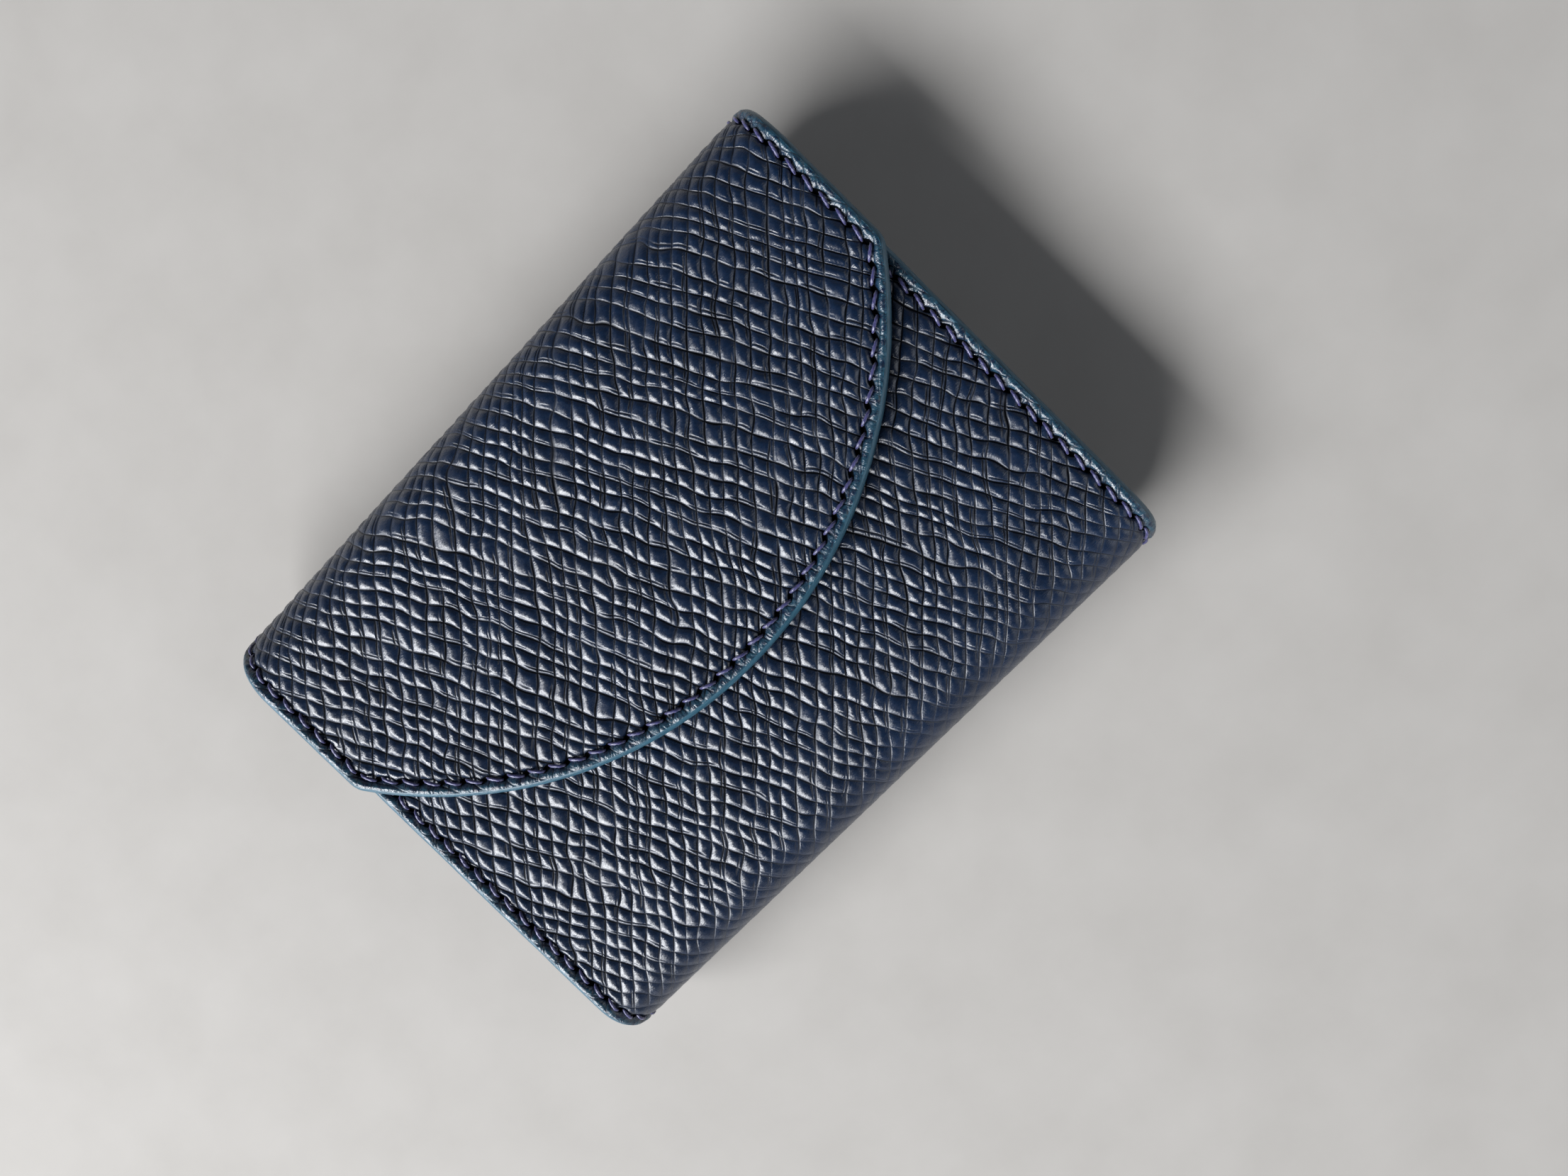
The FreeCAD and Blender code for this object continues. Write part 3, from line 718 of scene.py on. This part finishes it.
def region_grid(region, step, ghost):
    """Sheet coordinates of a grid over a region of the shell, inside its painted edges. A ghost row goes on
    before the first row and after the last, so that normals match across the joins."""
    s0, s1 = REGIONS[region]["span"]
    rows = int((s1 - s0) / step)
    if region == "flap":
        x = column_places(HALF_FLAP - LEATHER_INSET, CORNER_X, step)
        ends = flap_end(x)
    else:
        limit = HALF_WIDTH - LEATHER_INSET
        x = np.linspace(-limit, limit, int(2 * limit / step) + 1)
        ends = np.full_like(x, s1)
    starts = np.full_like(x, s0 + LEATHER_INSET if region == "front" else s0)
    share = np.linspace(0, 1, rows + 1)
    if ghost:
        share = np.concatenate([[-share[1]], share, [1 + share[1]]])
    s = starts[:, None] + (ends - starts)[:, None] * share[None, :]
    limit = HALF_FLAP if region == "flap" else HALF_WIDTH
    return x[:, None] * (half_width(s) - LEATHER_INSET) / (limit - LEATHER_INSET), s


MOUTH_SEAM_HALF = HALF_WIDTH - 2 * SEAM_INSET


def side_seam_span(region):
    s0, s1 = REGIONS[region]["span"]
    return (s0 + 2 * SEAM_INSET, s1) if region == "front" else (s0, s1)


def rim_coordinates(x, s, region):
    """The inset from the nearest edge, and the phase along its seam, a whole number at each awl hole. It
    grows the same way round the whole outline, so that all the holes slant alike."""
    if region == "flap":
        inset, along = flap_edge_coordinates(x, s)
        return inset, (along + HALF_SEAM) / whole_pitch(2 * HALF_SEAM)
    start, end = side_seam_span(region)
    inset, phase = half_width(s) - np.abs(x), -np.sign(x) * (s - start) / whole_pitch(end - start)
    if region == "front":
        by_mouth = s < inset
        on_mouth = -(x + MOUTH_SEAM_HALF) / whole_pitch(2 * MOUTH_SEAM_HALF)
        phase = np.where(by_mouth, on_mouth, phase)
        inset = np.minimum(inset, s)
    return inset, phase


GRAIN_RUNS_IN = 1.4      # how far inside its edge the leather has its full grain
GRAIN_AT_EDGE = 0.30     # the share of the grain that is left there
EDGE_TUCK = 0.07         # how far the leather dips where it meets the paint
EDGE_TUCK_REACH = 0.30
UNDERSIDE_STRIDE = 8     # the hidden underside has one point in this many


def outer_leather(region):
    x, s = region_grid(region, GRAIN_STEP, ghost=True)
    height, phases, strengths = grain(x, s)
    inset, stitch_phase = rim_coordinates(x, s, region)
    from_paint = inset - LEATHER_INSET
    fullness = np.clip(from_paint / GRAIN_RUNS_IN, GRAIN_AT_EDGE, 1) * stretched(s)
    tuck = EDGE_TUCK * np.exp(-(from_paint / EDGE_TUCK_REACH) ** 2)
    relief = seam_dents(stitch_phase, inset - SEAM_INSET) - tuck
    points = place(x, s, height * fullness + relief)
    keep = (slice(None), slice(1, -1))
    attributes = {
        "sheet": triples(x, s)[keep], "hatch": triples(*phases)[keep], "crease": triples(*strengths)[keep],
        "rim": triples(inset, stitch_phase, fullness)[keep],
    }
    under = place(x, s, -OUTER_T)[keep]
    piece = slab(
        f"{region}_leather", points[keep], under, GRAINED, stride=UNDERSIDE_STRIDE,
        attributes=attributes, normals=grid_normals(points)[keep])
    finish_piece(bend(piece), packed_nodes(region, "outer"))


PRINT_HEIGHT = 0.16
PRINT_SOFTNESS = 0.35


def magnet_print(x, s, node):
    """The faint raised disc that a magnet under the lining makes in it."""
    middle = (low(node) + high(node)) / 2
    radius = (high(node)[0] - low(node)[0]) / 2
    away = np.linalg.norm(place(x, s)[..., :2] - middle[:2], axis=-1)
    return -PRINT_HEIGHT / (1 + np.exp((away - radius) / PRINT_SOFTNESS))


def lining(region):
    """The relief is measured towards the outer leather, so what is raised on the lining is negative."""
    x, s = region_grid(region, SMOOTH_STEP, ghost=False)
    relief = 0.03 * noise(x, s, 6, 81) + 0.015 * noise(x, s, 2, 82)
    if region in MAGNETS:
        relief = relief + magnet_print(x, s, MAGNETS[region])
    points = place(x, s, -PANEL_T + relief)
    under = place(x, s, -OUTER_T)
    attributes = {"sheet": triples(x, s, PANEL_T)}
    piece = slab(f"{region}_lining_leather", points, under, LINING, flip=True, attributes=attributes)
    finish_piece(bend(piece), packed_nodes(region, "lining"))


# Painted edges: a round section, closed at the back by two points that lie inside the panel
SECTION_POINTS = 15
SECTION_TURNS = np.linspace(-math.pi / 2, math.pi / 2, SECTION_POINTS)
BACK_REACH = -0.08          # in edge radii
BACK_HEIGHT = 0.9
PAINT_UNEVEN = 0.03         # how far the paint's thickness varies, and the size of its waves
PAINT_WAVE = 3.0
FLAP_EDGE_POINTS = 700


def edge_bead(name, path, region):
    """A rounded painted edge along a path in sheet coordinates that keeps EDGE_R inside the true edge."""
    out = path_normals(path)
    length = path_lengths(path)
    swell = 1 - PAINT_UNEVEN * (1 + noise(length, 0 * length, PAINT_WAVE, 91))
    reach = np.concatenate([np.cos(SECTION_TURNS), [BACK_REACH, BACK_REACH]])
    height = np.concatenate([np.sin(SECTION_TURNS), [BACK_HEIGHT, -BACK_HEIGHT]])
    depth = EDGE_R - (EDGE_R - BEAD_SUNK) * height
    x = path[:, 0, None] + out[:, 0, None] * EDGE_R * reach[None, :] * swell[:, None]
    s = path[:, 1, None] + out[:, 1, None] * EDGE_R * reach[None, :] * swell[:, None]
    rings = place(x, s, -np.repeat(depth[None, :], len(path), axis=0))
    girth = np.concatenate([SECTION_TURNS, [math.pi, -math.pi]]) * EDGE_R
    sheet = triples(length[:, None], girth[None, :])
    piece = tube(name, rings, PAINT, sheet)
    finish_piece(bend(piece), packed_nodes(region, "edge_coat"))


EDGE_STEP = 0.5


def front_edge_path():
    """Up the right side of the front, along its mouth and down its left side."""
    x = HALF_WIDTH - EDGE_R
    s = np.linspace(S_BOTTOM_CREST, EDGE_R, int(S_BOTTOM_CREST / EDGE_STEP))
    across = np.linspace(-x, x, int(2 * x / EDGE_STEP))[1:-1]
    right = np.column_stack([half_width(s) - EDGE_R, s])
    mouth = np.column_stack([-across, np.full_like(across, EDGE_R)])
    return np.vstack([right, mouth, right[::-1] * [-1, 1]])


def side_path(region, side):
    """Along one side of the back, the same way round the outline as the front's path."""
    s0, s1 = REGIONS[region]["span"]
    s = np.linspace(s0, s1, int((s1 - s0) / EDGE_STEP))
    path = np.column_stack([side * (half_width(s) - EDGE_R), s])
    return path[::-1] if side > 0 else path


def painted_edges():
    edge_bead("front_painted_edge", front_edge_path(), "front")
    along = np.linspace(-HALF_SEAM, HALF_SEAM, FLAP_EDGE_POINTS)
    edge_bead("flap_painted_edge", flap_edge_points(along, EDGE_R), "flap")
    for region in ("back_lower", "back_upper"):
        for side, word in SIDES:
            edge_bead(f"{region}_painted_edge_{word}", side_path(region, side), region)


# Stitches
STITCH_STEPS = 17
THREAD_SIDES = 12
THREAD_R = 0.23
STITCH_HALF_LENGTH = 1.12
STITCH_SLANT = math.radians(-15)
STITCH_SUNK = 0.10       # of a stitch's middle, below the leather's face
STITCH_DIVE = 0.55       # how much deeper its ends go, into the awl's holes
THREAD_TAPER = 0.30      # the share of its thickness that the thread loses there
THREAD_FLATNESS = 0.9
PLIES = 3
PLY_RELIEF = 0.15
PLY_TWIST = 3.6          # radians, from the middle of a stitch to its end


def stitches(name, places, along, out, lift=0.0, size=1.0):
    """A row of separate saddle stitches, each a twisted three-ply thread that arches from hole to hole."""
    side = np.cross(out, along)
    travel = np.linspace(-1, 1, STITCH_STEPS)
    turns = np.linspace(0, 2 * math.pi, THREAD_SIDES, endpoint=False)
    rise = size * (-STITCH_SUNK - STITCH_DIVE * np.abs(travel) ** 3) + lift
    forward = size * STITCH_HALF_LENGTH * travel
    sideways = forward * math.tan(STITCH_SLANT)
    centres = (places[:, None, :] + along[:, None, :] * forward[None, :, None]
               + side[:, None, :] * sideways[None, :, None] + out[:, None, :] * rise[None, :, None])
    tangent = unit(np.gradient(centres, axis=1))
    across = unit(np.cross(np.broadcast_to(out[:, None, :], tangent.shape), tangent))
    normal = np.cross(tangent, across)
    twist = travel[:, None] * PLY_TWIST
    lobes = size * THREAD_R * (1 + PLY_RELIEF * np.cos(PLIES * (turns[None, :] + twist)))
    lobes = lobes * (1 - THREAD_TAPER * np.abs(travel[:, None]) ** 3)
    wide, tall = lobes * np.cos(turns), lobes * THREAD_FLATNESS * np.sin(turns)
    rings = (centres[:, :, None, :] + across[:, :, None, :] * wide[None, :, :, None]
             + normal[:, :, None, :] * tall[None, :, :, None])
    ring = np.arange(STITCH_STEPS * THREAD_SIDES).reshape(STITCH_STEPS, THREAD_SIDES)
    faces = []
    for k in range(len(places)):
        faces += tube_faces(ring + k * ring.size)
    piece = new_object(name, rings.reshape(-1, 3), faces, THREAD)
    length = np.arange(len(places))[:, None, None] * STITCH_PITCH + forward[None, :, None]
    sheet = triples(length, turns[None, None, :] * THREAD_R)
    add_attribute(piece, "sheet", sheet.reshape(-1, 3))
    return piece


def stitch_middles(start, end):
    """Where the middle of each stitch is, between the start and the end of a seam."""
    count = max(1, round(abs(end - start) / STITCH_PITCH))
    return start + (end - start) * (np.arange(count) + 0.5) / count


HALF_CHORD = 0.4    # of the short chord that gives a seam's direction


def stitch_frames(middles, sheet_point):
    """Places, directions and outward normals of stitches. sheet_point turns distance along a seam into
    sheet coordinates."""
    before, here, after = (sheet_point(middles + shift) for shift in (-HALF_CHORD, 0, HALF_CHORD))
    return place(*here.T), unit(place(*after.T) - place(*before.T)), outward(here[:, 1])


def shell_seams():
    for region in ("front", "back_lower", "back_upper"):
        for side, word in SIDES:
            def seam_point(s, side=side):
                return np.column_stack([side * (half_width(s) - SEAM_INSET), s])
            frames = stitch_frames(stitch_middles(*side_seam_span(region)), seam_point)
            piece = stitches(f"{region}_stitches_{word}", *frames)
            finish_piece(bend(piece), packed_nodes(region, f"seam_{word}"))

    def mouth_point(x):
        return np.column_stack([x, np.full_like(x, SEAM_INSET)])
    frames = stitch_frames(stitch_middles(-MOUTH_SEAM_HALF, MOUTH_SEAM_HALF), mouth_point)
    finish_piece(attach(stitches("mouth_stitches", *frames), "front"), ["mouth_seam"])


def flap_seams():
    def seam_point(along):
        return flap_edge_points(along, SEAM_INSET)
    places, along, out = stitch_frames(stitch_middles(-HALF_SEAM, HALF_SEAM), seam_point)
    outside = stitches("flap_stitches", places, along, out)
    finish_piece(bend(outside), ["flap_seam"])
    inside = stitches("flap_stitches_inside", places - out * PANEL_T, along, -out)
    finish_piece(bend(inside), [])


# Inside the wallet

def rounded_path(points, rounds=3):
    """The polyline with its corners cut back, again and again, until they are round."""
    path = np.array(points, float)
    for _ in range(rounds):
        near, far = path[:-1] * 0.75 + path[1:] * 0.25, path[:-1] * 0.25 + path[1:] * 0.75
        path = np.vstack([path[:1], np.stack([near, far], axis=1).reshape(-1, 2)[1:-1], path[-1:]])
    return path


GUSSET_ROWS = 70
GUSSET_GAP = 0.05           # between a gusset's flange and its panel
GUSSET_WRAP = 0.8           # how far it lies along the divider before it folds
GUSSET_DIP = 1.6            # how far its upper edge sinks between the two
GUSSET_FOOT_GAP = 0.3       # between its foot and the inside of the bottom fold
GUSSET_FOOT_REACH = 0.93    # how far down the inside of the fold its foot goes
DIVIDER_MIDDLE_Z = (DIVIDER_LOW[2] + DIVIDER_HIGH[2]) / 2


def gusset_half(name, side, wall_z, nodes):
    """Half of a folded gusset, from the divider's edge to its flange on one panel."""
    wrap_x = DIVIDER_HIGH[0] + GUSSET_T / 2
    toward = 1 if wall_z > DIVIDER_MIDDLE_Z else -1
    near_z = DIVIDER_MIDDLE_Z + toward * ((DIVIDER_HIGH[2] - DIVIDER_LOW[2]) / 2 + GUSSET_T / 2)
    flange_z = wall_z - toward * (GUSSET_T / 2 + GUSSET_GAP)
    path = rounded_path([
        (wrap_x, DIVIDER_MIDDLE_Z), (wrap_x, near_z), (wrap_x - GUSSET_WRAP, near_z),
        (GUSSET_APEX_X, (near_z + flange_z) / 2), (GUSSET_FLANGE_X, flange_z),
        (HALF_WIDTH - EDGE_R, flange_z)])
    normal = path_normals(path) * GUSSET_T / 2
    top_y = high("gusset_middle_left")[1]
    inner_r = BOTTOM_R - PANEL_T - GUSSET_FOOT_GAP
    share = np.linspace(0, 1, GUSSET_ROWS)
    length = path_lengths(path)
    dip = GUSSET_DIP * np.sin(math.pi * length / length[-1])
    y0 = BOTTOM_Y - GUSSET_FOOT_REACH * inner_r
    y = y0 + (top_y - dip[:, None] - y0) * share[None, :]
    turn = np.arcsin(np.clip((BOTTOM_Y - y) / inner_r, 0, 1))
    squeeze = np.cos(turn)
    drawn_in = half_width(S_FRONT + BOTTOM_R * turn) - HALF_WIDTH

    def face(offset):
        x = (path + offset)[:, :1] + drawn_in
        z = BOTTOM_R + ((path + offset)[:, 1:] - BOTTOM_R) * squeeze
        return np.stack([side * x, y, z], axis=-1)
    attributes = {"sheet": triples(length[:, None], y)}
    piece = slab(name, face(normal), face(-normal), GUSSET, flip=(side > 0), attributes=attributes)
    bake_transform(piece)
    finish_piece(piece, nodes)


def gussets():
    front_z, back_z = FRONT_Z - PANEL_T, PANEL_T
    for side, word in SIDES:
        gusset_half(f"gusset_front_{word}_leather", side, front_z,
                    [f"gusset_front_{word}", f"gusset_middle_{word}"])
        gusset_half(f"gusset_back_{word}_leather", side, back_z,
                    [f"gusset_back_{word}"])


EDGE_SOFTNESS, EDGE_SOFT_REACH = 0.3, 0.5    # the first is a share of the panel's thickness
PANEL_WAVE, PANEL_WAVE_SIZE, FLAT_BORDER = 0.06, 22, 4


def flat_panel(name, node, body, seed):
    """A thin leather panel that lies level, with softened edges and a slight wave."""
    low_corner, high_corner = low(node), high(node)
    size = high_corner - low_corner
    x = np.linspace(low_corner[0], high_corner[0], int(size[0] / SMOOTH_STEP))
    y = np.linspace(low_corner[1], high_corner[1], int(size[1] / SMOOTH_STEP))
    x, y = np.meshgrid(x, y, indexing="ij")
    edge = np.minimum(high_corner[0] - np.abs(x), np.minimum(y - low_corner[1], high_corner[1] - y))
    soft = EDGE_SOFTNESS * size[2] * np.exp(-edge / EDGE_SOFT_REACH)
    wave = PANEL_WAVE * noise(x, y, PANEL_WAVE_SIZE, seed) * np.clip(edge / FLAT_BORDER, 0, 1)
    top = np.stack([x, y, high_corner[2] - soft + wave], axis=-1)
    under = np.stack([x, y, low_corner[2] + soft + wave], axis=-1)
    piece = slab(name, top, under, LINING, flip=True, attributes={"sheet": triples(x, y, seed)})
    finish_piece(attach(piece, body), [node])


SLOT_POINTS = 180
SLOT_SIDES = 12
PAINT_PROUD = 0.01    # how far the paint stands above the panel's faces


def painted_slot(name, node, body):
    """The painted upper edge of a flat panel."""
    low_corner, high_corner = low(node), high(node)
    r = (high_corner[2] - low_corner[2]) / 2
    x = np.linspace(low_corner[0], high_corner[0], SLOT_POINTS)
    turns = np.linspace(0, 2 * math.pi, SLOT_SIDES, endpoint=False)
    y = high_corner[1] - r + r * np.cos(turns)
    z = low_corner[2] + r + (r + PAINT_PROUD) * np.sin(turns)
    rings = triples(x[:, None], y[None, :], z[None, :])
    sheet = triples(x[:, None], (turns * r)[None, :])
    piece = tube(name, rings, PAINT, sheet)
    finish_piece(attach(piece, body), [])


INSIDE_SEAM_INSET = 1.6
INSIDE_STITCH_SIZE = 0.8     # a share of the shell's
INSIDE_STITCH_LIFT = 0.16    # the thin leather inside has no groove for them
FOOT_SEAM_INSET = 1.5        # between the foot's seam and those at the pocket's sides
SEAM_BELOW_TOP = 0.8
SEAM_ABOVE_FOOT = 0.3


def level_stitches(name, nodes, start, end, body, z):
    """Small stitches in a straight line on a level panel."""
    start, end = np.array(start, float), np.array(end, float)
    length = np.linalg.norm(end - start)
    count = round(length / STITCH_PITCH)
    share = (np.arange(count) + 0.5) / count
    places = np.column_stack([start + (end - start) * share[:, None], np.full(count, z)])
    along = np.tile(np.append((end - start) / length, 0.0), (count, 1))
    out = np.tile([0.0, 0.0, 1.0], (count, 1))
    piece = stitches(name, places, along, out, lift=INSIDE_STITCH_LIFT, size=INSIDE_STITCH_SIZE)
    finish_piece(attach(piece, body), nodes)


def inside_panels():
    inset = INSIDE_SEAM_INSET
    flat_panel("divider_leather", "divider_panel", "bottom_fold", 3)
    painted_slot("divider_painted_edge", "divider_panel", "bottom_fold")
    x = high("card_pocket_deep")[0] - inset
    y = DIVIDER_HIGH[1] - inset
    level_stitches("divider_stitches", ["divider_seam"], (-x, y), (x, y), "bottom_fold", DIVIDER_HIGH[2])
    foot = low("card_pocket_deep")[1] + inset
    tops = {"deep": high("card_pocket_deep")[1], "shallow": high("card_pocket_shallow")[1]}
    feet = {"deep": tops["shallow"], "shallow": foot}
    for kind, seed in (("deep", 5), ("shallow", 7)):
        node = f"card_pocket_{kind}"
        flat_panel(f"{node}_leather", node, "back", seed)
        painted_slot(f"{node}_painted_edge", node, "back")
        for side, word in SIDES:
            replaced = [f"card_pocket_seam_{kind}"] if side < 0 else []
            ends = (side * x, tops[kind] - SEAM_BELOW_TOP), (side * x, feet[kind] + SEAM_ABOVE_FOOT)
            level_stitches(f"{node}_stitches_{word}", replaced, *ends, "back", high(node)[2])
    ends = (-x + FOOT_SEAM_INSET, foot), (x - FOOT_SEAM_INSET, foot)
    level_stitches("card_pocket_stitches_foot", [], *ends, "back", high("card_pocket_shallow")[2])


def sealed_catch():
    """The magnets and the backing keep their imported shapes. They are sealed between leather and lining."""
    plated = plain_solid("plated_magnet", (0.45, 0.45, 0.47), (0.62, 0.62, 0.64), 1.0, 0.25)
    board = plain_solid("pressed_board", (0.36, 0.31, 0.25), (0.52, 0.46, 0.38), 0.0, 0.8)
    for node in (*MAGNETS.values(), "flap_magnet_backing"):
        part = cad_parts[node]
        part.data.materials.clear()
        part.data.materials.append(plated if node in MAGNETS.values() else board)


# The setting
CAMERA_AT = (30.82, -5.12, 167.58)
CAMERA_LOOKS_AT = (10.78, -9.03, FLAP_Z)
CAMERA_ROLL = math.radians(-45.4)
CAMERA_LENS = 26.16
CAMERA_SENSOR = 36
CAMERA_NEAR = 0.01      # metres
FLOOR_SIZE = 6.0        # metres
FLOOR_DROP = 0.0002     # metres, so that the floor doesn't cut the leather's lowest points
LIT_POINT = (0, 0, 0.01)    # metres; both lights face it
WALL_COLOUR = (0.26, 0.275, 0.30)
CEILING_COLOUR = (0.024, 0.028, 0.036)


def camera():
    """A wide lens close above the wallet."""
    data = bpy.data.cameras.new("camera")
    data.sensor_width = CAMERA_SENSOR
    data.lens = CAMERA_LENS
    data.clip_start = CAMERA_NEAR
    holder = linked("camera", data)
    back = (Vector(CAMERA_AT) - Vector(CAMERA_LOOKS_AT)).normalized()
    level = Vector((0, 1, 0)).cross(back).normalized()
    above = back.cross(level)
    right = level * math.cos(CAMERA_ROLL) + above * math.sin(CAMERA_ROLL)
    up = back.cross(right)
    turn = Matrix((right, up, back)).transposed().to_4x4()
    holder.matrix_world = Matrix.Translation(Vector(CAMERA_AT) * MM) @ turn
    bpy.context.scene.camera = holder


def floor():
    look = Shading("pale_floor")
    fibre = look.noise(look.node("TexCoord").outputs["Object"], 60.0, detail=6)
    look.set("Base Color", look.ramp(fibre, 0.3, (0.37, 0.355, 0.335), 0.7, (0.40, 0.385, 0.365)))
    look.set("Roughness", 0.9)
    bpy.ops.mesh.primitive_plane_add(size=FLOOR_SIZE, location=(0, 0, -FLOOR_DROP))
    plane = bpy.context.object
    plane.name = "floor"
    plane.data.materials.append(look.material)


def area_light(name, at, size, power, colour):
    data = bpy.data.lights.new(name, "AREA")
    data.shape = "RECTANGLE"
    data.size, data.size_y = size
    data.energy = power
    data.color = colour
    lamp = linked(name, data)
    direction = Vector(LIT_POINT) - Vector(at)
    lamp.location = at
    lamp.rotation_euler = direction.to_track_quat("-Z", "Y").to_euler()


def surroundings():
    """A studio with pale walls and a dark ceiling, so that glossy leather seen from above stays dark."""
    world = bpy.data.worlds.new("studio")
    world.use_nodes = True
    nodes, links = world.node_tree.nodes, world.node_tree.links
    direction = nodes.new("ShaderNodeTexCoord").outputs["Generated"]
    split = nodes.new("ShaderNodeSeparateXYZ")
    walls = nodes.new("ShaderNodeValToRGB")
    links.new(direction, split.inputs[0])
    links.new(split.outputs["Z"], walls.inputs["Fac"])
    set_ramp(walls, (0.12, 0.75), (WALL_COLOUR, CEILING_COLOUR))
    links.new(walls.outputs["Color"], nodes["Background"].inputs["Color"])
    bpy.context.scene.world = world


def studio():
    """A strip of light low on the left, which draws the grain, and a faint one on the right."""
    area_light("key", at=(-0.99, -0.03, 0.66), size=(1.40, 0.40), power=40.0, colour=(0.97, 0.98, 1.0))
    area_light("fill", at=(0.60, -0.60, 0.45), size=(0.9, 0.6), power=2.0, colour=(0.93, 0.96, 1.0))
    surroundings()
    bpy.context.scene.view_settings.view_transform = "Standard"


for region_name in REGIONS:
    outer_leather(region_name)
    lining(region_name)
painted_edges()
shell_seams()
flap_seams()
gussets()
inside_panels()
sealed_catch()
camera()
floor()
studio()
